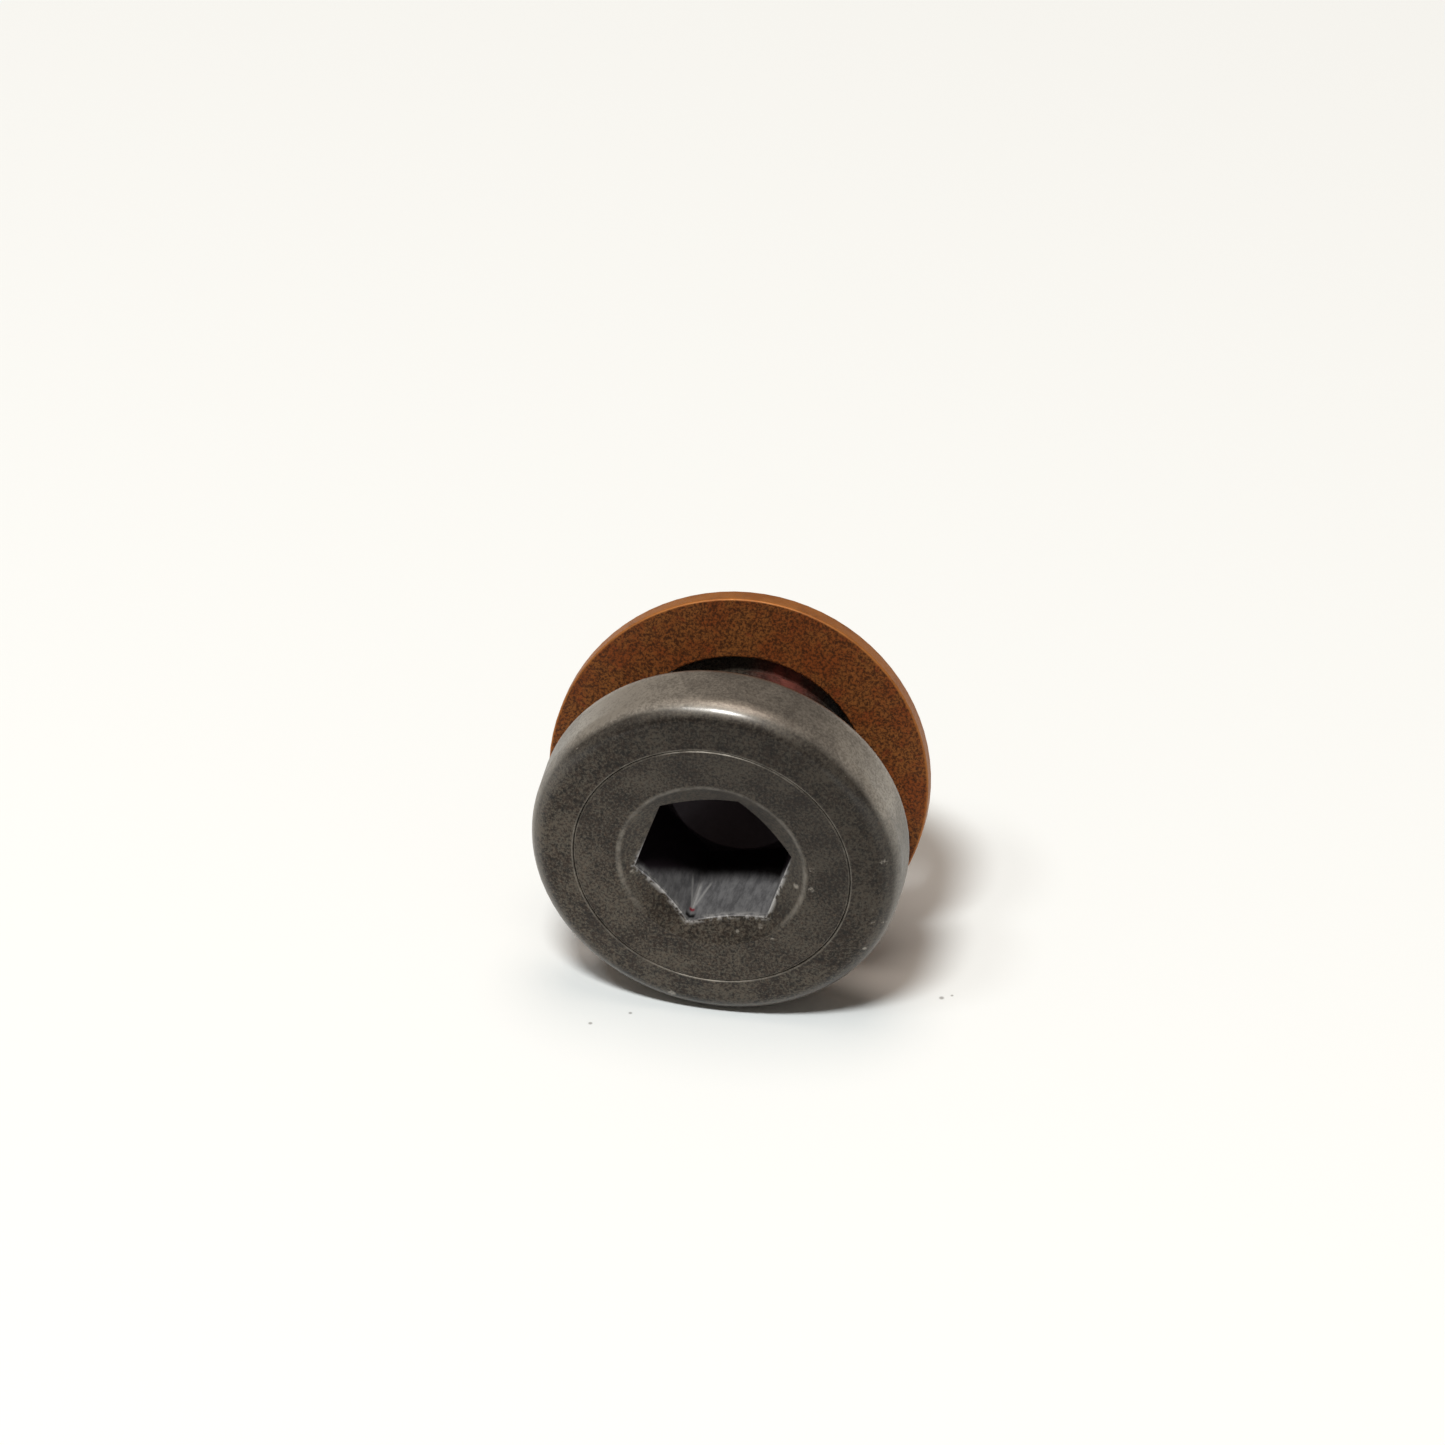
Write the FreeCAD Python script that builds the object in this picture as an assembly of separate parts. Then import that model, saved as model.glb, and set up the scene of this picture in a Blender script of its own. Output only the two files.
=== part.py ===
"""Stud-type cam follower: a narrow ball-bearing roller on a hex-socket stud, with a loose thrust washer.

Frame: millimetres, +Z up. The roller spins about the Y axis, its drive face looks towards -Y and the
stud points along +Y. The origin is on the spin axis, in the plane of the ball circle.
"""
import FreeCAD, Part

import math
import os

from FreeCAD import Rotation, Vector

INCH = 25.4

# roller (outer ring); axial places are measured back from the drive face
ROLLER_R = INCH / 4            # 1/2 in outer diameter
ROLLER_W = 3.05                # a little narrower than the stud's shoulder length
BEVEL_ANGLE = 11.3             # the front face falls away from the seam to the rim
FRONT_RIM_R = 0.85
REAR_RIM_R = 0.88

# ball row, full complement
BALL_D = INCH * 3 / 64
BALL_COUNT = 21
BALL_CIRCLE_R = 4.15
BALL_ROW_AT = 1.50             # ball circle's plane behind the drive face
GROOVE_R = 0.52 * BALL_D       # groove section, slightly larger than the ball
RACE_PLAY = 0.012              # radial play between a ball and each raceway
RING_SHOULDER_R = 4.40

# stud: drive head, inner race, seat, thread and half-dog point
SEAM_GAP = 0.020               # running gap between the stud's head and the roller
HEAD_T = 0.78
SHOULDER_AT = INCH / 8         # the washer's seat behind the drive face
RACE_LAND_R = 4.06
SEAT_R = 3.98
PLATE_T = 0.80
THREAD_PITCH = INCH / 24       # 5/16-24 UNF
THREAD_MAJOR_R = INCH * 5 / 32
RELIEF_R = 3.30
RELIEF_L = 0.55
THREAD_END_AT = 7.90
DOG_R = 2.65
STUD_END_AT = 9.90
EDGE_BREAK = 0.03              # hair chamfers on ground edges
END_CHAMFER = 0.30

# hex socket
HEX_AF = INCH * 3 / 16
HEX_DEPTH = 4.30
HEX_TURN = 11.7                # one corner stands this far above +X, in degrees
COUNTERSINK_R = 3.26
COUNTERSINK_ANGLE = 120.0
DRILL_R = 2.33
DRILL_POINT_ANGLE = 118.0

# thrust washer, loose on the stud
WASHER_R = 6.46
WASHER_HOLE_R = INCH * 11 / 64
WASHER_T = INCH / 32
WASHER_EDGE_R = 0.07
WASHER_HOME_GAP = 0.02         # free play to the shoulder when the washer is square
WASHER_HOME_RISE = 0.327       # how far the standing washer's centre is above the spin axis
WASHER_LEAN = 15.9             # it leans back about the rim point nearest the roller
WASHER_LEAN_ROLL = 12.3        # that rim point lies this far from straight down, towards -X

SPIN_AXIS = Vector(0, 1, 0)
SEAM_R = BALL_CIRCLE_R + BALL_D / 2 + RACE_PLAY
STUD_HEAD_R = SEAM_R - SEAM_GAP
PLATE_AT = SHOULDER_AT - PLATE_T


def behind_face(distance):
    """Y of a plane this far behind the drive face."""
    return distance - BALL_ROW_AT


def rounded(points):
    """Edges of a closed outline of (radius, behind face, corner rounding) points."""
    corners = [Vector(r, behind_face(back), 0) for r, back, _ in points]
    starts, ends, arcs = [], [], []
    for i, (_, _, rounding) in enumerate(points):
        corner = corners[i]
        before = (corners[i - 1] - corner).normalize()
        after = (corners[(i + 1) % len(corners)] - corner).normalize()
        half = before.getAngle(after) / 2
        setback = rounding / math.tan(half)
        first, last = corner + before * setback, corner + after * setback
        starts.append(first)
        ends.append(last)
        if rounding:
            middle = (before + after).normalize()
            top = corner + middle * (rounding / math.sin(half) - rounding)
            arcs.append(Part.Arc(first, top, last).toShape())
        else:
            arcs.append(None)
    edges = []
    for i, arc in enumerate(arcs):
        if arc:
            edges.append(arc)
        edges.append(Part.LineSegment(ends[i], starts[(i + 1) % len(starts)]).toShape())
    return edges


def turned(points):
    """Solid of revolution about the spin axis from an outline of (radius, behind face, rounding)."""
    face = Part.Face(Part.Wire(rounded(points)))
    return face.revolve(Vector(0, 0, 0), SPIN_AXIS, 360)


def groove(race_centre_r):
    """Ring-shaped cutter of a ball groove, in the ball circle's plane."""
    return Part.makeTorus(race_centre_r, GROOVE_R, Vector(0, 0, 0), SPIN_AXIS)


def hex_socket():
    """Broached hexagon with its countersunk mouth and the point of its pilot drill."""
    corner_r = HEX_AF / math.sqrt(3)
    corners = []
    for side in range(7):
        angle = math.radians(HEX_TURN + 60 * side)
        corners.append(Vector(corner_r * math.cos(angle), behind_face(0), corner_r * math.sin(angle)))
    hexagon = Part.Face(Part.makePolygon(corners)).extrude(SPIN_AXIS * HEX_DEPTH)
    mouth_depth = COUNTERSINK_R / math.tan(math.radians(COUNTERSINK_ANGLE / 2))
    mouth = Part.makeCone(COUNTERSINK_R, 0, mouth_depth, Vector(0, behind_face(0), 0), SPIN_AXIS)
    point_depth = DRILL_R / math.tan(math.radians(DRILL_POINT_ANGLE / 2))
    point = Part.makeCone(DRILL_R, 0, point_depth, Vector(0, behind_face(HEX_DEPTH), 0), SPIN_AXIS)
    return hexagon.fuse([mouth, point])


def thread_cutter():
    """Helical V groove that runs out past the thread's end and into its relief."""
    depth = 0.6134 * THREAD_PITCH
    overshoot = 0.10
    half_mouth = THREAD_PITCH * 7 / 16 + overshoot * math.tan(math.radians(30))
    half_root = half_mouth - (depth + overshoot) * math.tan(math.radians(30))
    start = SHOULDER_AT + RELIEF_L / 2
    length = THREAD_END_AT + THREAD_PITCH - start
    helix = Part.makeLongHelix(THREAD_PITCH, length, THREAD_MAJOR_R)
    outer, inner = THREAD_MAJOR_R + overshoot, THREAD_MAJOR_R - depth
    section = Part.makePolygon([
        Vector(outer, 0, -half_mouth), Vector(outer, 0, half_mouth),
        Vector(inner, 0, half_root), Vector(inner, 0, -half_root), Vector(outer, 0, -half_mouth)])
    sweep = Part.BRepOffsetAPI.MakePipeShell(helix)
    sweep.setFrenetMode(True)
    sweep.add(section)
    sweep.build()
    sweep.makeSolid()
    cutter = sweep.shape()
    cutter.rotate(Vector(0, 0, 0), Vector(1, 0, 0), -90)
    cutter.translate(Vector(0, behind_face(start), 0))
    return cutter


def stud():
    """Drive head, integral inner race, plate seat, 5/16-24 thread and half-dog point in one piece."""
    relief_end = SHOULDER_AT + RELIEF_L
    thread_end_r = THREAD_MAJOR_R - END_CHAMFER * 2
    blank = turned([
        (0, 0, 0),
        (STUD_HEAD_R - EDGE_BREAK, 0, 0),
        (STUD_HEAD_R, EDGE_BREAK, 0),
        (STUD_HEAD_R, HEAD_T, 0),
        (RACE_LAND_R, HEAD_T, 0.05),
        (RACE_LAND_R, PLATE_AT, 0),
        (SEAT_R, PLATE_AT, 0),
        (SEAT_R, SHOULDER_AT, 0),
        (RELIEF_R, SHOULDER_AT, 0.15),
        (RELIEF_R, relief_end, 0.15),
        (THREAD_MAJOR_R, relief_end + THREAD_MAJOR_R - RELIEF_R, 0),
        (THREAD_MAJOR_R, THREAD_END_AT - END_CHAMFER * 2, 0),
        (thread_end_r, THREAD_END_AT, 0),
        (DOG_R, THREAD_END_AT, 0),
        (DOG_R, STUD_END_AT - END_CHAMFER, 0),
        (DOG_R - END_CHAMFER, STUD_END_AT, 0),
        (0, STUD_END_AT, 0)])
    inner_groove_r = BALL_CIRCLE_R - BALL_D / 2 - RACE_PLAY + GROOVE_R
    return blank.cut(groove(inner_groove_r)).cut(hex_socket()).cut(thread_cutter())


def outer_ring():
    """Roller with an open front raceway, a rear shoulder and a pocket for the end plate."""
    bevel_back = (ROLLER_R - SEAM_R) * math.tan(math.radians(BEVEL_ANGLE))
    pocket_at = PLATE_AT - 0.08
    ring = turned([
        (SEAM_R + EDGE_BREAK, 0, 0),
        (ROLLER_R, bevel_back, FRONT_RIM_R),
        (ROLLER_R, ROLLER_W, REAR_RIM_R),
        (SEAM_R + EDGE_BREAK, ROLLER_W, 0),
        (SEAM_R, ROLLER_W - EDGE_BREAK, 0),
        (SEAM_R, pocket_at, 0),
        (RING_SHOULDER_R, pocket_at, 0),
        (RING_SHOULDER_R, BALL_ROW_AT, 0),
        (SEAM_R, BALL_ROW_AT, 0),
        (SEAM_R, EDGE_BREAK, 0)])
    return ring.cut(groove(SEAM_R - GROOVE_R))


def end_plate():
    """Flat ring pressed on the stud's seat, flush with its shoulder, which keeps the roller on."""
    return turned([
        (SEAT_R, PLATE_AT, 0),
        (STUD_HEAD_R - EDGE_BREAK, PLATE_AT, 0),
        (STUD_HEAD_R, PLATE_AT + EDGE_BREAK, 0),
        (STUD_HEAD_R, SHOULDER_AT - EDGE_BREAK, 0),
        (STUD_HEAD_R - EDGE_BREAK, SHOULDER_AT, 0),
        (SEAT_R, SHOULDER_AT, 0)])


def ball(number):
    """One ball of the row, in its place on the ball circle."""
    angle = 2 * math.pi * number / BALL_COUNT
    centre = Vector(BALL_CIRCLE_R * math.cos(angle), 0, BALL_CIRCLE_R * math.sin(angle))
    return Part.makeSphere(BALL_D / 2, centre, SPIN_AXIS)


def washer():
    """Flat washer that leans back on the stud, pivoting on the rim point nearest the roller."""
    front = SHOULDER_AT + WASHER_HOME_GAP
    back = front + WASHER_T
    shape = turned([
        (WASHER_HOLE_R, front, WASHER_EDGE_R),
        (WASHER_R, front, WASHER_EDGE_R),
        (WASHER_R, back, WASHER_EDGE_R),
        (WASHER_HOLE_R, back, WASHER_EDGE_R)])
    shape.translate(Vector(0, 0, WASHER_HOME_RISE))
    roll = Rotation(SPIN_AXIS, WASHER_LEAN_ROLL)
    pivot = Vector(0, behind_face(front), WASHER_HOME_RISE) + roll.multVec(Vector(0, 0, -WASHER_R))
    shape.rotate(pivot, roll.multVec(Vector(1, 0, 0)), -WASHER_LEAN)
    return shape


def build():
    """Every sub-part by its node's name."""
    nodes = {"stud": stud(), "outer_ring": outer_ring(), "end_plate": end_plate(), "washer": washer()}
    for number in range(BALL_COUNT):
        nodes[f"ball_{number + 1:02d}"] = ball(number)
    return nodes


os.makedirs("parts", exist_ok=True)
for name, shape in build().items():
    print(f"{name}: {shape.Volume:.3f} mm3, valid {shape.isValid()}")
    shape.exportStep(f"parts/{name}.step")
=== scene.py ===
"""Looks of a stud-type cam follower lying on a pale table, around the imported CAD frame."""

import math

import bpy
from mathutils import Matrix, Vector


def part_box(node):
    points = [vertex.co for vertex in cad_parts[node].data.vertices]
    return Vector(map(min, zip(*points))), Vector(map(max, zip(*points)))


MM = 0.001

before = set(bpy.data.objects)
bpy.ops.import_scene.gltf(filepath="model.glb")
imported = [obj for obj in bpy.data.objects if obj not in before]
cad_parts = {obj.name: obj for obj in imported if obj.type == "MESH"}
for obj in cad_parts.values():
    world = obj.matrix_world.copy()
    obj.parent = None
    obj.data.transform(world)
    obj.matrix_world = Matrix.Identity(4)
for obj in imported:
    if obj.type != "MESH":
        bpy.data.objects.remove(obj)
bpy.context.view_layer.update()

# ---- measures read from the frame, in metres -----------------------------------------------------
stud_low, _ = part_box("stud")
_, ring_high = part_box("outer_ring")
FACE_Y = stud_low.y                       # plane of the drive face
FLOOR_Z = -ring_high.z                    # table top, under the roller

# ---- the part's sizes in millimetres, for the wear that the materials show -----------------------
FACE_AT = FACE_Y / MM
SEAM_R = 4.757                            # seam between the stud's head and the roller
COUNTERSINK_R = 3.26
COUNTERSINK_SLOPE = 1 / math.tan(math.radians(60))
HEX_FLAT_R = 4.7625 / 2
HEX_CORNER_R = 2.75
HEX_TURN = 11.7                           # degrees
HEX_DEPTH = 4.3
DRILL_TIP_DEPTH = 5.7
WASHER_R = 6.46
WASHER_T = 0.79375
WASHER_LEAN = math.radians(15.9)          # it leans back about the rim point nearest the roller
WASHER_ROLL = math.radians(12.3)          # that rim point lies this far from straight down, towards -X
WASHER_PIVOT = Vector((-1.3762, 1.695, -5.9847))


def leaning_washer():
    """Centre and axis of the washer as it leans on its pivot."""
    back = Vector((0, 1, 0))
    upward = Vector((math.sin(WASHER_ROLL), 0, math.cos(WASHER_ROLL)))
    across = upward * math.cos(WASHER_LEAN) + back * math.sin(WASHER_LEAN)
    axis = back * math.cos(WASHER_LEAN) - upward * math.sin(WASHER_LEAN)
    return WASHER_PIVOT + across * WASHER_R + axis * WASHER_T / 2, axis


# ---- camera --------------------------------------------------------------------------------------
CAMERA_AZIMUTH = 11.2
CAMERA_ELEVATION = 36.1
CAMERA_DISTANCE = 1.20
SENSOR_WIDTH = 36.0                       # millimetres
CLIP_START = 0.01
FRAME_WIDTH = 48.6 * MM                   # what the frame spans at the drive face
AIM_RIGHT, AIM_UP = 0.373 * MM, 4.84 * MM  # the frame's centre, from the drive face's centre


def direction(azimuth, elevation):
    """Unit vector towards a viewer or a light: azimuth 0 in front of the face, positive right."""
    az, el = math.radians(azimuth), math.radians(elevation)
    return Vector((math.sin(az) * math.cos(el), -math.cos(az) * math.cos(el), math.sin(el)))


def add_camera():
    """Long lens, looking down at the drive face from slightly right."""
    towards = direction(CAMERA_AZIMUTH, CAMERA_ELEVATION)
    turn = towards.to_track_quat("Z", "Y")
    right, up = turn @ Vector((1, 0, 0)), turn @ Vector((0, 1, 0))
    data = bpy.data.cameras.new("camera")
    data.sensor_width = SENSOR_WIDTH
    data.lens = SENSOR_WIDTH * CAMERA_DISTANCE / FRAME_WIDTH
    data.clip_start = CLIP_START
    camera = bpy.data.objects.new("camera", data)
    aim = Vector((0, FACE_Y, 0)) + right * AIM_RIGHT + up * AIM_UP
    camera.location = aim + towards * CAMERA_DISTANCE
    camera.rotation_euler = turn.to_euler()
    bpy.context.scene.collection.objects.link(camera)
    bpy.context.scene.camera = camera


# ---- node helpers --------------------------------------------------------------------------------
BUMP_HEIGHT = 0.01 * MM
MARK_CORE = 0.3                           # share of a small mark's size over which it is full


class Nodes:
    """Short calls for building one material's node tree."""

    def __init__(self, name):
        self.material = bpy.data.materials.new(name)
        self.material.use_nodes = True
        self.tree = self.material.node_tree
        self.shader = self.tree.nodes["Principled BSDF"]

    def put(self, socket, value):
        """Link another node's output to a socket, or set the socket's own value."""
        if isinstance(value, bpy.types.NodeSocket):
            self.tree.links.new(value, socket)
        elif hasattr(value, "__len__") and len(value) == 3 and socket.type == "RGBA":
            socket.default_value = (*value, 1.0)
        else:
            socket.default_value = value

    def math(self, operation, a, b=0.0):
        node = self.tree.nodes.new("ShaderNodeMath")
        node.operation = operation
        self.put(node.inputs[0], a)
        self.put(node.inputs[1], b)
        return node.outputs[0]

    def chain(self, operation, values):
        """The operation on the first two values, then on that result and the third, and so on."""
        result, *others = values
        for value in others:
            result = self.math(operation, result, value)
        return result

    def product(self, *values):
        return self.chain("MULTIPLY", values)

    def total(self, *values):
        return self.chain("ADD", values)

    def largest(self, *values):
        return self.chain("MAXIMUM", values)

    def less(self, a, b):
        return self.math("SUBTRACT", a, b)

    def weighted(self, values, weights):
        """Sum of the values, each times its weight."""
        return self.total(*[self.product(value, weight) for value, weight in zip(values, weights)])

    def ramp(self, value, low, high, to_low=0.0, to_high=1.0):
        """Smooth step of value from low..high to to_low..to_high."""
        node = self.tree.nodes.new("ShaderNodeMapRange")
        node.interpolation_type = "SMOOTHSTEP"
        self.put(node.inputs["Value"], value)
        self.put(node.inputs["From Min"], low)
        self.put(node.inputs["From Max"], high)
        self.put(node.inputs["To Min"], to_low)
        self.put(node.inputs["To Max"], to_high)
        return node.outputs[0]

    def between(self, value, start, full, fade, end):
        """0 up to start, 1 from full to fade, and 0 again past end."""
        return self.product(self.ramp(value, start, full), self.ramp(value, end, fade))

    def band(self, value, centre, half_width):
        """1 at centre, falling to 0 at half_width either side."""
        return self.ramp(self.math("ABSOLUTE", self.less(value, centre)), half_width, 0.0)

    def mix(self, share, a, b):
        """Colour a, with that share of colour b."""
        node = self.tree.nodes.new("ShaderNodeMix")
        node.data_type = "RGBA"
        self.put(node.inputs[0], share)
        self.put(node.inputs[6], a)
        self.put(node.inputs[7], b)
        return node.outputs[2]

    def place(self):
        """The surface point in the CAD frame, in millimetres, as a vector and as its x, y and z."""
        coordinates = self.tree.nodes.new("ShaderNodeTexCoord")
        scale = self.tree.nodes.new("ShaderNodeVectorMath")
        scale.operation = "SCALE"
        self.put(scale.inputs[0], coordinates.outputs["Object"])
        scale.inputs["Scale"].default_value = 1 / MM
        split = self.tree.nodes.new("ShaderNodeSeparateXYZ")
        self.put(split.inputs[0], scale.outputs[0])
        return scale.outputs[0], *split.outputs[:3]

    def vector_math(self, operation, a, b=(0.0, 0.0, 0.0)):
        node = self.tree.nodes.new("ShaderNodeVectorMath")
        node.operation = operation
        self.put(node.inputs[0], a)
        self.put(node.inputs[1], b)
        return node.outputs["Value" if operation == "LENGTH" else "Vector"]

    def vector(self, x, y, z):
        node = self.tree.nodes.new("ShaderNodeCombineXYZ")
        for socket, value in zip(node.inputs, (x, y, z)):
            self.put(socket, value)
        return node.outputs[0]

    def noise(self, place, scale, detail, roughness):
        node = self.tree.nodes.new("ShaderNodeTexNoise")
        self.put(node.inputs["Vector"], place)
        node.inputs["Scale"].default_value = scale
        node.inputs["Detail"].default_value = detail
        node.inputs["Roughness"].default_value = roughness
        return node.outputs[0]

    def patches(self, place, scale, detail, roughness, low, high, to_low=0.0, to_high=1.0):
        """Noise that is to_low in the places where it is under low, and to_high where over high."""
        return self.ramp(self.noise(place, scale, detail, roughness), low, high, to_low, to_high)

    def bump(self, height, strength):
        node = self.tree.nodes.new("ShaderNodeBump")
        node.inputs["Strength"].default_value = strength
        node.inputs["Distance"].default_value = BUMP_HEIGHT
        self.put(node.inputs["Height"], height)
        return node.outputs[0]


class Spot:
    """A surface point in millimetres: place, x, y and z, radius from the axis, depth behind the face."""

    def __init__(self, n):
        self.place, self.x, self.y, self.z = n.place()
        self.r = radius(n, self.x, self.z)
        self.depth = n.less(self.y, FACE_AT)


def radius(n, x, z):
    return n.math("SQRT", n.total(n.product(x, x), n.product(z, z)))


def hex_distance(n, x, z):
    """Half the width across flats of the hexagon, in line with the socket, through a point."""
    sides = []
    for side in range(3):
        angle = math.radians(HEX_TURN + 30 + 60 * side)
        along = n.weighted((x, z), (math.cos(angle), math.sin(angle)))
        sides.append(n.math("ABSOLUTE", along))
    return n.largest(*sides)


def mark(n, x, z, at_x, at_z, size):
    """1 in the middle of a small round mark, 0 outside it."""
    away = radius(n, n.less(x, at_x), n.less(z, at_z))
    return n.ramp(away, size, size * MARK_CORE)


def marks(n, x, z, places):
    """The strongest of several small marks, each given as (x, z, size)."""
    return n.largest(*[mark(n, x, z, *place) for place in places])


# ---- colours -------------------------------------------------------------------------------------
OXIDE_DARK = (0.010, 0.0082, 0.0068)
OXIDE_LIGHT = (0.098, 0.085, 0.067)
WORN_STEEL = (0.42, 0.385, 0.335)
SOCKET_STEEL = (0.38, 0.375, 0.385)
SOCKET_STEEL_DULL = (0.19, 0.187, 0.195)
LIP_STEEL = (0.62, 0.61, 0.60)
RUST = (0.15, 0.075, 0.040)
# painted shade for the unlit inside of the socket
SOCKET_SHADE = (0.030, 0.021, 0.027)
# partly rubbed-off copper, partly a painted reflection of the washer
COPPER_SMEAR_AND_REFLECTION = (0.62, 0.18, 0.14)
NOTCH_PAINTED_SHADE = (0.006, 0.006, 0.006)
RED_SPECK = (0.40, 0.035, 0.055)
TARNISH_DARK = (0.062, 0.018, 0.0035)
TARNISH_BROWN = (0.230, 0.054, 0.0070)
TARNISH_TAN = (0.250, 0.085, 0.0160)
TARNISH_RED = (0.30, 0.05, 0.012)
RUBBED_COPPER = (0.40, 0.145, 0.028)
BALL_STEEL = (0.56, 0.56, 0.57)
BALL_FILM = (0.42, 0.40, 0.36)
TABLE_WHITE = (0.845, 0.888, 0.91)
DUST = (0.10, 0.09, 0.08)

# In the sections below, a noise is (scale per millimetre, detail, roughness), and patches of a noise
# are that and the ramp's limits. A ramp is (from, to), or those two and the values it has there. A
# stretch is (none before, full from, full to, none after), and a line (centre, half width).

# ---- black oxide, on the stud, the end plate and the roller --------------------------------------
BLOTCH_NOISE = (0.8, 4.0, 0.6)
GRAIN_NOISE = (10.0, 4.0, 0.8)
TURNING_NOISE = (1.0, 3.0, 0.6)
TURNING_MARKS = 22.0                      # per millimetre
TINT_PATCHES = (6.0, 2.0, 0.6, 0.35, 0.65)
TINT_RUST, TINT_SHARE = 0.5, 0.20
SPECK_PATCHES = (4.5, 3.0, 0.6, 0.66, 0.76)
SPECK_SHARE = 0.30
SHADE_WEIGHTS = (0.26, 0.64, 0.10)        # of the blotches, the grain and the turning marks
SHADE_RAMP = (0.44, 0.575)
PAINTED_SHADE_SLOPE = (0.8, 0.6)                   # painted shade: the oxide is painted darker upwards and to the right
PAINTED_SHADE_RAMP = (-4.0, 5.0, 0.0, 0.5)
ROUGHNESS_WEIGHTS = (0.6, 0.4)            # of the grain and the blotches
ROUGHNESS_RAMP = (0.35, 0.65, 0.38, 0.54)
HEIGHT_WEIGHTS = (0.8, 0.2)               # of the grain and the turning marks
OXIDE_METALLIC = 0.70
OXIDE_BUMP = 0.8
COAT_ROUGHNESS = 0.22
FACE_COAT = 0.10                          # thin film of oil on the flat faces


def black_oxide(n, at):
    """Mottled dark oxide skin, painted darker towards the upper right as painted shade: its colour,
    roughness and bump height.
    """
    blotches = n.noise(at.place, *BLOTCH_NOISE)
    grain = n.noise(at.place, *GRAIN_NOISE)
    rings = n.vector(n.product(at.r, TURNING_MARKS), n.product(at.y, TURNING_MARKS), 0.0)
    turned = n.noise(rings, *TURNING_NOISE)
    shade = n.weighted((blotches, grain, turned), SHADE_WEIGHTS)
    colour = n.mix(n.ramp(shade, *SHADE_RAMP), OXIDE_DARK, OXIDE_LIGHT)
    tint = n.product(n.patches(at.place, *TINT_PATCHES), TINT_SHARE)
    colour = n.mix(tint, colour, n.mix(TINT_RUST, colour, RUST))
    specks = n.product(n.patches(at.place, *SPECK_PATCHES), SPECK_SHARE)
    colour = n.mix(specks, colour, RUST)
    # painted shade: darker towards the upper right, lighter towards the lower left
    painted_shade = n.ramp(n.weighted((at.z, at.x), PAINTED_SHADE_SLOPE), *PAINTED_SHADE_RAMP)
    colour = n.mix(painted_shade, colour, OXIDE_DARK)
    rough = n.ramp(n.weighted((grain, blotches), ROUGHNESS_WEIGHTS), *ROUGHNESS_RAMP)
    return colour, rough, n.weighted((grain, turned), HEIGHT_WEIGHTS)


def finish_oxide(n, colour, rough, height, coat):
    n.put(n.shader.inputs["Base Color"], colour)
    n.shader.inputs["Metallic"].default_value = OXIDE_METALLIC
    n.put(n.shader.inputs["Roughness"], rough)
    n.put(n.shader.inputs["Coat Weight"], coat)
    n.shader.inputs["Coat Roughness"].default_value = COAT_ROUGHNESS
    n.put(n.shader.inputs["Normal"], n.bump(height, OXIDE_BUMP))
    return n.material


# ---- wear that the stud and the roller share -----------------------------------------------------
SEAM_SIDE = 0.03                          # from the seam to the middle of the bright line beside it
SEAM_LINE = 0.05                          # half width of that line
NICK_WEAR = 0.6


# ---- stud ----------------------------------------------------------------------------------------
STUD_PATCHES = (1.3, 4.0, 0.7, 0.40, 0.62, 0.35, 1.0)
STUD_BREAKS = (4.0, 3.0, 0.7, 0.42, 0.58)
STUD_SEAM_WEAR = 0.42
STUD_SEAM_DEPTHS = (0.10, 0.04)
COUNTERSINK_WEAR = 0.36
COUNTERSINK_LINE = (COUNTERSINK_R - 0.06, 0.15)
COUNTERSINK_DEPTHS = (0.35, 0.2)
COUNTERSINK_HEIGHTS = (-3.0, -1.0, 0.2, 1.0)
CONE_WEAR = 0.03
CONE_DEPTHS = (0.02, 0.08, 0.40, 0.60)
CONE_RADII = (COUNTERSINK_R + 0.03, COUNTERSINK_R)
# bright nicks, as (x, z, size)
HEAD_NICKS = ((3.45, 0.34, 0.13), (3.42, -0.50, 0.15), (2.86, -0.55, 0.14), (1.67, -2.42, 0.14),
              (0.85, -2.75, 0.09), (2.1, -2.75, 0.10), (-2.75, -0.75, 0.12))
HEAD_NICK_DEPTHS = (0.5, 0.4)


def turned_edges(n, at, patchy, broken):
    """Wear on the seam's edge, round the countersink and on its cone, and the head's nicks."""
    seam = n.product(n.band(at.r, SEAM_R - SEAM_SIDE, SEAM_LINE), n.ramp(at.depth, *STUD_SEAM_DEPTHS))
    rim = n.product(n.band(at.r, *COUNTERSINK_LINE), n.ramp(at.depth, *COUNTERSINK_DEPTHS),
                    n.ramp(at.z, *COUNTERSINK_HEIGHTS))
    cone = n.product(n.between(at.depth, *CONE_DEPTHS), n.ramp(at.r, *CONE_RADII))
    edges = n.largest(n.product(seam, STUD_SEAM_WEAR), n.product(rim, COUNTERSINK_WEAR))
    nicks = n.product(marks(n, at.x, at.z, HEAD_NICKS), broken, n.ramp(at.depth, *HEAD_NICK_DEPTHS))
    return n.largest(n.product(edges, patchy), n.product(cone, CONE_WEAR), n.product(nicks, NICK_WEAR))


SMEAR_AND_REFLECTION_SHARE = 0.45
SMEAR_AND_REFLECTION_DEPTHS = (4.2, 4.8, 7.0, 7.6)
SMEAR_AND_REFLECTION_HEIGHTS = (1.6, 2.8)
SMEAR_AND_REFLECTION_LINE = (1.35, 1.5)


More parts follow.
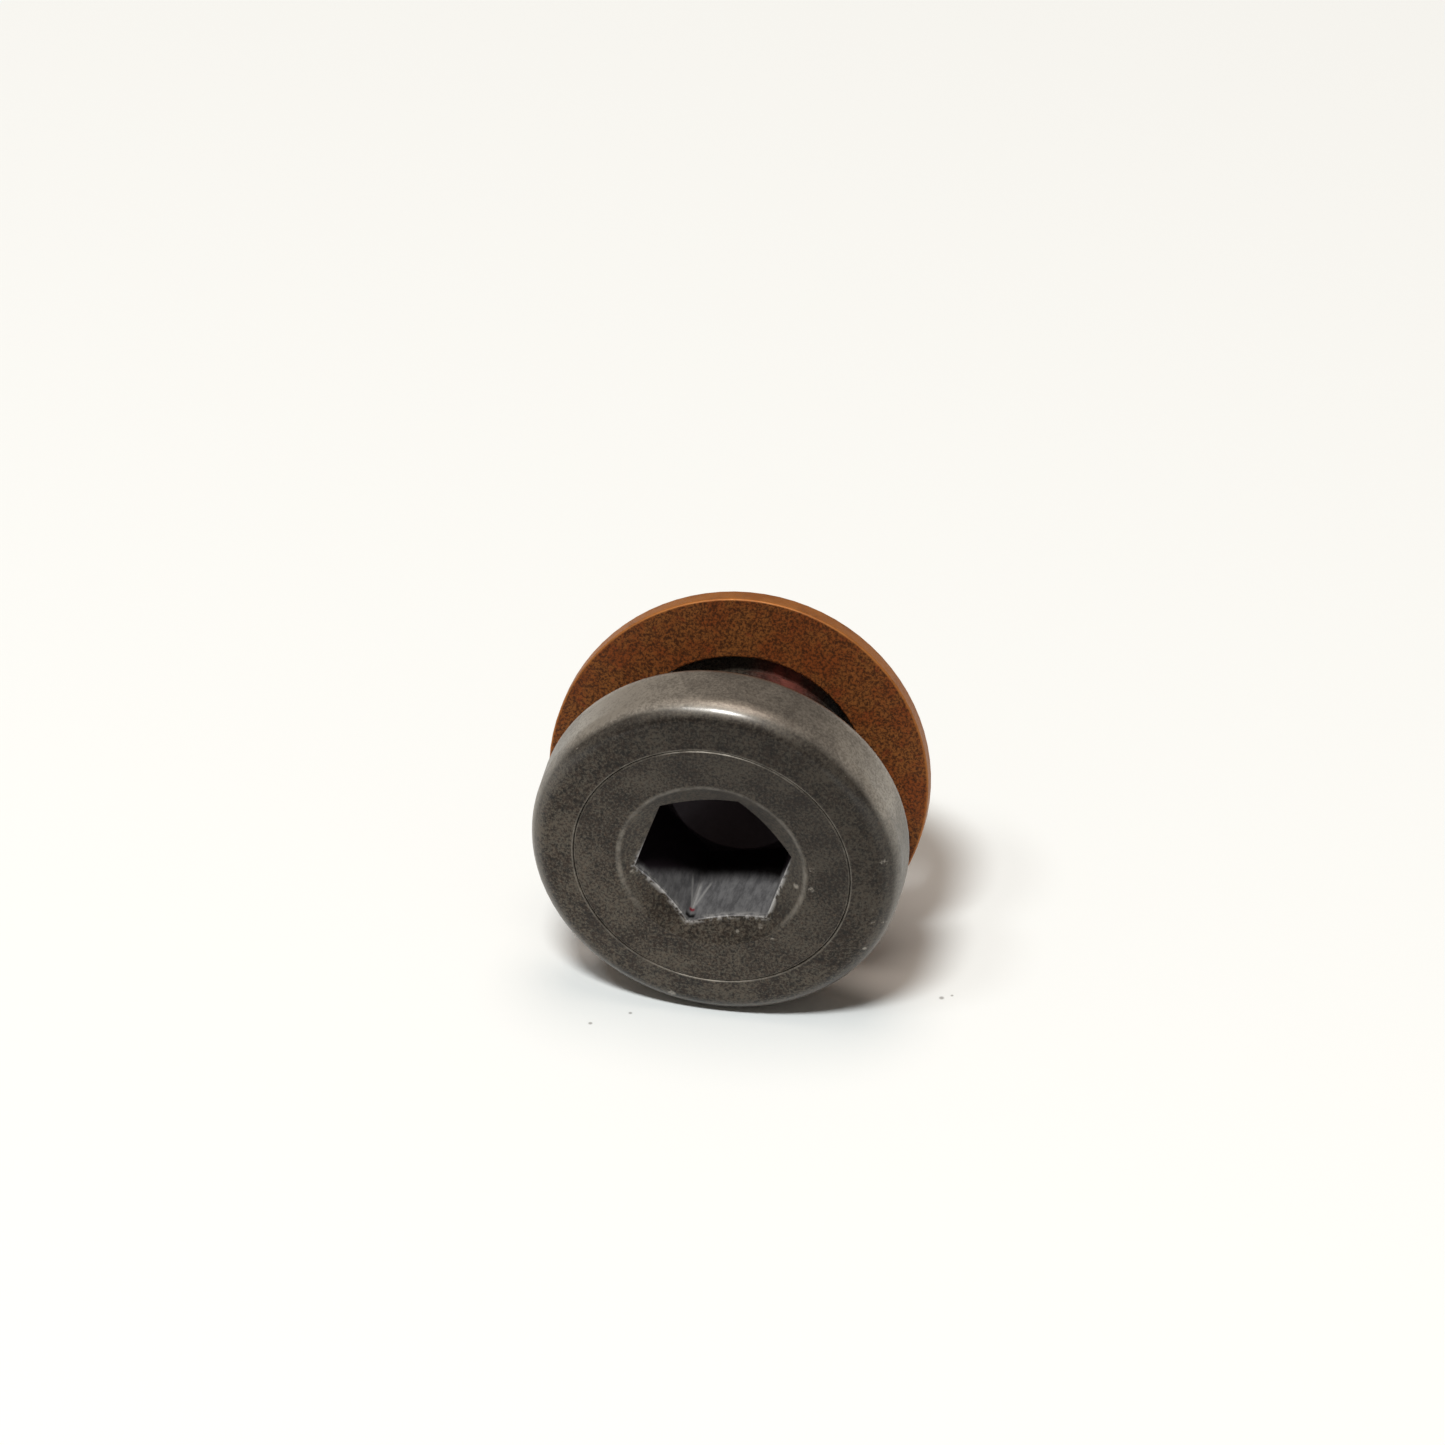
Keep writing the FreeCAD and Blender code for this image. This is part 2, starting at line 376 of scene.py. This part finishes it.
def copper_smear_and_reflection(n, at, patchy):
    """Copper red on the top of the thread, seen through the washer's hole: partly copper rubbed off by
    the washer, partly a painted reflection of the washer and painted light in the dark gap.
    """
    smear_and_reflection = n.product(n.between(at.depth, *SMEAR_AND_REFLECTION_DEPTHS), n.ramp(at.z, *SMEAR_AND_REFLECTION_HEIGHTS),
                      n.band(at.x, *SMEAR_AND_REFLECTION_LINE))
    return n.product(smear_and_reflection, patchy, SMEAR_AND_REFLECTION_SHARE)


FLATS_LINE = (HEX_FLAT_R, 0.06)
FLATS_DEPTHS = (0.15, 0.45, HEX_DEPTH + 0.2, HEX_DEPTH + 0.4)
# painted shade: the bare steel fades out on the upper walls, which stay dark
FLATS_PAINTED_SHADE_HEIGHTS = (0.8, -0.4)
FLATS_EXTRA_ROUGHNESS = 0.08
STREAKS_ACROSS, STREAKS_ALONG = 5.0, 1.4  # per millimetre
STREAK_PATCHES = (1.0, 5.0, 0.7, 0.32, 0.68)


def broached_flats_with_painted_shade(n, at, flat):
    """The socket's walls, bare steel low down where they face up and left dark oxide above as painted
    shade, and their colour, streaked along the socket.
    """
    walls = n.product(n.band(flat, *FLATS_LINE), n.between(at.depth, *FLATS_DEPTHS),
                      n.ramp(at.z, *FLATS_PAINTED_SHADE_HEIGHTS))
    stretched = n.vector(n.product(at.x, STREAKS_ACROSS), n.product(at.y, STREAKS_ALONG),
                         n.product(at.z, STREAKS_ACROSS))
    return walls, n.mix(n.patches(stretched, *STREAK_PATCHES), SOCKET_STEEL_DULL, SOCKET_STEEL)


SOCKET_SHADE_SLOPE = (0.58, 0.81, -0.11)        # the painted shade's edge slants down into the socket, along a shadow line
SOCKET_SHADE_EDGE = (-0.45, 0.05)
SOCKET_SHADE_RADII = (HEX_CORNER_R + 0.05, HEX_CORNER_R)
SOCKET_SHADE_DEPTHS = (0.5, 0.9, DRILL_TIP_DEPTH + 0.3, DRILL_TIP_DEPTH + 0.5)


def socket_painted_shade(n, at):
    """Painted shade: near-black in the upper part of the socket and on its drill point, beyond the
    lamps' reach.
    """
    above = n.ramp(n.weighted((at.depth, at.z, at.x), SOCKET_SHADE_SLOPE), *SOCKET_SHADE_EDGE)
    return n.product(above, n.ramp(at.r, *SOCKET_SHADE_RADII), n.between(at.depth, *SOCKET_SHADE_DEPTHS))


LIP_SHARE = 0.8
LIP_LINE = (HEX_FLAT_R, 0.17)
LIP_BELOW = (0.05, 0.22)                  # below the line where the flats run out in the countersink
LIP_HEIGHTS = (0.4, -0.8)
LIP_DEPTHS = (1.0, 0.6)


def bright_lower_lips(n, at, flat, broken):
    """Bright steel on the socket's lower edges only, where its flats run out in the countersink."""
    run_out = n.product(n.less(COUNTERSINK_R, at.r), COUNTERSINK_SLOPE)
    lip = n.product(n.band(flat, *LIP_LINE), n.band(n.less(at.depth, run_out), *LIP_BELOW))
    lower = n.product(n.ramp(at.z, *LIP_HEIGHTS), n.ramp(at.depth, *LIP_DEPTHS))
    return n.product(lip, lower, broken, LIP_SHARE)


BURR_X, BURR_Z = -0.863, -2.611           # the socket's corner that holds the burr
SCRATCH_SHARE = 0.75
SCRATCH_DEPTHS = (0.85, 1.0, 2.2, 2.7)
SCRATCH_FORK = 0.9                        # depth at which the two scratches part
SCRATCH_SPREAD = 0.25                     # how fast they part
SCRATCH_WIDTH = 0.08
STEM_RADII = (0.13, 0.05)
NOTCH_RADII = (0.24, 0.14)
NOTCH_LINE = (0.55, 0.22)
RED_RADII = (0.14, 0.06)
RED_LINE = (0.92, 0.14)


def torn_burr(n, at, colour):
    """A burr in one corner of the socket: bright forked scratches, a notch painted near-black as painted
    shade, and a red speck.
    """
    corner = radius(n, n.less(at.x, BURR_X), n.less(at.z, BURR_Z))
    arm = n.product(n.less(at.depth, SCRATCH_FORK), SCRATCH_SPREAD)
    scratches = n.largest(n.ramp(corner, *STEM_RADII), n.band(corner, arm, SCRATCH_WIDTH))
    scratches = n.product(scratches, n.between(at.depth, *SCRATCH_DEPTHS), SCRATCH_SHARE)
    colour = n.mix(scratches, colour, LIP_STEEL)
    # painted shade: the notch is painted near-black
    notch_shade = n.product(n.ramp(corner, *NOTCH_RADII), n.band(at.depth, *NOTCH_LINE))
    colour = n.mix(notch_shade, colour, NOTCH_PAINTED_SHADE)
    red = n.product(n.ramp(corner, *RED_RADII), n.band(at.depth, *RED_LINE))
    return n.mix(red, colour, RED_SPECK)


def stud_material():
    """Black oxide with bright wear on the seam edge, round the countersink and in the socket."""
    n = Nodes("black_oxide_stud")
    at = Spot(n)
    colour, rough, height = black_oxide(n, at)
    patchy = n.patches(at.place, *STUD_PATCHES)
    broken = n.patches(at.place, *STUD_BREAKS)
    flat = hex_distance(n, at.x, at.z)
    colour = n.mix(turned_edges(n, at, patchy, broken), colour, WORN_STEEL)
    # copper rubbed off by the washer, with a painted reflection of the washer and painted light in the
    # gap
    colour = n.mix(copper_smear_and_reflection(n, at, patchy), colour, COPPER_SMEAR_AND_REFLECTION)
    walls, bare = broached_flats_with_painted_shade(n, at, flat)
    colour = n.mix(walls, colour, bare)
    rough = n.total(rough, n.product(walls, FLATS_EXTRA_ROUGHNESS))
    # painted shade inside the socket
    colour = n.mix(socket_painted_shade(n, at), colour, SOCKET_SHADE)
    colour = n.mix(bright_lower_lips(n, at, flat, broken), colour, LIP_STEEL)
    colour = torn_burr(n, at, colour)
    return finish_oxide(n, colour, rough, height, FACE_COAT)


# ---- roller --------------------------------------------------------------------------------------
TREAD_RADII = (6.08, 6.33)
# painted light and shade: how worn the tread looks is set by side, lighter on the upper left
TREAD_LEFT = (-4.0, 0.5, 1.30, 0.48)
TREAD_RIGHT = (2.5, 5.2, 0.0, 0.52)
TREAD_FAR_LEFT = (-5.6, -3.8, 0.45, 1.0)
TREAD_LOW_SLOPE = (1.0, -0.5)             # painted shade: the tread is painted darker low down on the right
TREAD_LOW = (-2.5, 0.2, 0.35, 1.0)


def tread_wear_and_painted_light(n, at):
    """Tread worn grey, with painted light and shade on it: lightest on its upper left, darkest at its
    far left and low on its right.
    """
    across = n.total(n.ramp(at.x, *TREAD_LEFT), n.ramp(at.x, *TREAD_RIGHT))
    low = n.ramp(n.weighted((at.z, at.x), TREAD_LOW_SLOPE), *TREAD_LOW)
    return n.product(across, n.ramp(at.x, *TREAD_FAR_LEFT), low, n.ramp(at.r, *TREAD_RADII))


RING_PATCHES = (1.3, 4.0, 0.7, 0.35, 0.65, 0.45, 1.0)
RING_GRAIN_PATCHES = (9.0, 4.0, 0.8, 0.40, 0.60, 0.70, 1.20)
PATCHES_IN_WEAR = (0.4, 1.0, 0.75, 1.0)
RING_SEAM_WEAR = 0.36
RING_SEAM_DEPTHS = (0.20, 0.1)
# the round edge is painted lighter left of x = 2 mm: partly wear, partly a painted highlight
EDGE_WEAR_AND_HIGHLIGHT_RADII = (5.85, 6.1)
EDGE_WEAR_AND_HIGHLIGHT_ACROSS = (2.0, 5.0, 0.12, 0.04)
# bright nicks, as (x, z, size)
RIM_NICKS = ((5.85, 0.80, 0.16), (5.47, 3.30, 0.14), (5.85, -1.82, 0.13), (-1.42, -5.68, 0.20),
             (5.2, -2.9, 0.09))
RIM_NICK_DEPTHS = (0.9, 0.7)
RIM_NICK_BREAKS = (5.0, 3.0, 0.7, 0.42, 0.58)
RIM_SPECK_PATCHES = (3.2, 2.0, 0.5, 0.72, 0.77)
RIM_SPECK_RADII = (5.5, 6.0)
# the coat is thick on the round edge, upwards, and thin on the flat face and the tread
EDGE_COAT = (5.65, 5.95, FACE_COAT, 1.0)
UPPER_COAT = (1.0, 5.0, 0.25, 1.0)
TREAD_COAT = (6.28, 6.34, 1.0, 0.25)


def ring_material():
    """Black oxide, worn grey on the tread with painted light and shade across it, with a bright seam
    edge and nicks round the rim.
    """
    n = Nodes("black_oxide_roller")
    at = Spot(n)
    colour, rough, height = black_oxide(n, at)
    patchy = n.patches(at.place, *RING_PATCHES)
    seam = n.product(n.band(at.r, SEAM_R + SEAM_SIDE, SEAM_LINE), n.ramp(at.depth, *RING_SEAM_DEPTHS))
    specks = n.product(n.patches(at.place, *RIM_SPECK_PATCHES), n.ramp(at.r, *RIM_SPECK_RADII))
    nicks = n.product(marks(n, at.x, at.z, RIM_NICKS), n.ramp(at.depth, *RIM_NICK_DEPTHS),
                      n.patches(at.place, *RIM_NICK_BREAKS))
    # painted highlight on the round edge's left, and painted light and shade on the tread, on top of the
    # real wear
    edge_wear_and_highlight = n.product(n.ramp(at.r, *EDGE_WEAR_AND_HIGHLIGHT_RADII), n.ramp(at.x, *EDGE_WEAR_AND_HIGHLIGHT_ACROSS))
    wear_and_painted_light = n.product(n.largest(edge_wear_and_highlight, tread_wear_and_painted_light(n, at)), n.ramp(patchy, *PATCHES_IN_WEAR),
                     n.patches(at.place, *RING_GRAIN_PATCHES))
    wear_and_painted_light = n.largest(wear_and_painted_light, n.product(seam, patchy, RING_SEAM_WEAR),
                     n.product(n.largest(nicks, specks), NICK_WEAR))
    colour = n.mix(wear_and_painted_light, colour, WORN_STEEL)
    coat = n.product(n.ramp(at.r, *EDGE_COAT), n.ramp(at.z, *UPPER_COAT), n.ramp(at.r, *TREAD_COAT))
    return finish_oxide(n, colour, rough, height, coat)


# ---- washer --------------------------------------------------------------------------------------
CLOUD_NOISE = (0.9, 5.0, 0.65)
TARNISH_GRAIN_NOISE = (11.0, 4.0, 0.8)
CLOUD_RAMP = (0.38, 0.62)
TARNISH_GRAIN_RAMP = (0.42, 0.575)
RED_PATCHES = (3.0, 3.0, 0.6, 0.60, 0.70)
RED_SHARE = 0.30
RUBBED_RADII = (WASHER_R - 0.09, WASHER_R - 0.02)
RUBBED_CLOUDS = (0.30, 0.60, 0.55, 0.95)
WASHER_METALLIC = 0.40
WASHER_ROUGHNESS = (0.3, 0.7, 0.45, 0.65)
WASHER_BUMP = 0.7


def washer_material():
    """Dull orange-brown tarnish on copper alloy, mottled, rubbed to a lighter tan on the rim."""
    n = Nodes("tarnished_copper")
    place = n.place()[0]
    centre, axis = leaning_washer()
    away = n.vector_math("SUBTRACT", place, centre)
    r = n.vector_math("LENGTH", n.vector_math("CROSS_PRODUCT", away, axis))
    clouds = n.noise(place, *CLOUD_NOISE)
    grain = n.noise(place, *TARNISH_GRAIN_NOISE)
    tarnish = n.mix(n.ramp(clouds, *CLOUD_RAMP), TARNISH_BROWN, TARNISH_TAN)
    colour = n.mix(n.ramp(grain, *TARNISH_GRAIN_RAMP), TARNISH_DARK, tarnish)
    red = n.product(n.patches(place, *RED_PATCHES), RED_SHARE)
    colour = n.mix(red, colour, TARNISH_RED)
    rubbed = n.product(n.ramp(r, *RUBBED_RADII), n.ramp(clouds, *RUBBED_CLOUDS))
    colour = n.mix(rubbed, colour, RUBBED_COPPER)
    n.put(n.shader.inputs["Base Color"], colour)
    n.shader.inputs["Metallic"].default_value = WASHER_METALLIC
    n.put(n.shader.inputs["Roughness"], n.ramp(grain, *WASHER_ROUGHNESS))
    n.put(n.shader.inputs["Normal"], n.bump(n.total(grain, clouds), WASHER_BUMP))
    return n.material


# ---- balls ---------------------------------------------------------------------------------------
FILM_NOISE = (2.2, 3.0, 0.5)
FILM_RAMP = (0.4, 0.7)
BALL_ROUGHNESS = (0.3, 0.7, 0.08, 0.2)


def ball_material():
    """Polished bearing steel with a faint trace of grease."""
    n = Nodes("bearing_steel")
    film = n.noise(n.place()[0], *FILM_NOISE)
    n.put(n.shader.inputs["Base Color"], n.mix(n.ramp(film, *FILM_RAMP), BALL_STEEL, BALL_FILM))
    n.shader.inputs["Metallic"].default_value = 1.0
    n.put(n.shader.inputs["Roughness"], n.ramp(film, *BALL_ROUGHNESS))
    return n.material


def give(node, material):
    """The material on a CAD node's every slot."""
    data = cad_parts[node].data
    data.materials.clear()
    data.materials.append(material)


def dress():
    """One material per kind of metal."""
    steel, balls = stud_material(), ball_material()
    give("stud", steel)
    give("end_plate", steel)
    give("outer_ring", ring_material())
    give("washer", washer_material())
    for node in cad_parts:
        if node.startswith("ball_"):
            give(node, balls)


# ---- stage ---------------------------------------------------------------------------------------
TABLE_HALF = 1.5
TABLE_GAP = 0.002 * MM                    # keeps the table top clear of the roller and the washer
TABLE_ROUGHNESS = 0.55
# dust on the table in millimetres, as (x, y, size)
DUST_SPECKS = ((-3.95, -2.58, 0.10), (-2.74, -1.75, 0.09), (7.40, 1.13, 0.12), (7.72, 1.33, 0.07))
DUST_SHARE = 0.6
WORLD_COLOUR = (1.0, 0.85, 0.72, 1.0)
WORLD_STRENGTH = 0.14
DAYLIGHT = (1.0, 1.0, 0.97)
WARM_WHITE = (1.0, 0.83, 0.70)
# name, azimuth and elevation in degrees, distance, width and height in metres, watts, colour
LIGHTS = (
    ("overhead", -9.6, 63.5, 0.6, (0.16, 0.07), 2.8, DAYLIGHT),
    ("window", -42, 60, 0.6, (0.14, 0.07), 0.42, DAYLIGHT),
    ("ceiling", 180, 86, 0.8, (0.45, 0.45), 2.14, WARM_WHITE),
)


def table_material():
    """Plain, nearly white table top with a few specks of dust."""
    n = Nodes("table_white")
    _, x, y, _ = n.place()
    dust = n.product(marks(n, x, y, DUST_SPECKS), DUST_SHARE)
    n.put(n.shader.inputs["Base Color"], n.mix(dust, TABLE_WHITE, DUST))
    n.shader.inputs["Roughness"].default_value = TABLE_ROUGHNESS
    return n.material


def add_table():
    data = bpy.data.meshes.new("table")
    h, z = TABLE_HALF, FLOOR_Z - TABLE_GAP
    data.from_pydata([(-h, -h, z), (h, -h, z), (h, h, z), (-h, h, z)], [], [(0, 1, 2, 3)])
    table = bpy.data.objects.new("table", data)
    data.materials.append(table_material())
    bpy.context.scene.collection.objects.link(table)


def add_light(name, azimuth, elevation, distance, size, watts, colour):
    """Soft oval light of that width and height, aimed at the origin."""
    towards = direction(azimuth, elevation)
    data = bpy.data.lights.new(name, "AREA")
    data.shape = "ELLIPSE"
    data.size, data.size_y = size
    data.energy = watts
    data.color = colour
    light = bpy.data.objects.new(name, data)
    light.location = towards * distance
    light.rotation_euler = towards.to_track_quat("Z", "Y").to_euler()
    bpy.context.scene.collection.objects.link(light)


def add_world():
    """A dim warm room."""
    world = bpy.data.worlds.new("studio")
    bpy.context.scene.world = world
    world.use_nodes = True
    background = world.node_tree.nodes["Background"]
    background.inputs["Color"].default_value = WORLD_COLOUR
    background.inputs["Strength"].default_value = WORLD_STRENGTH


dress()
add_camera()
add_table()
add_world()
for light in LIGHTS:
    add_light(*light)
bpy.context.scene.view_settings.view_transform = "Standard"
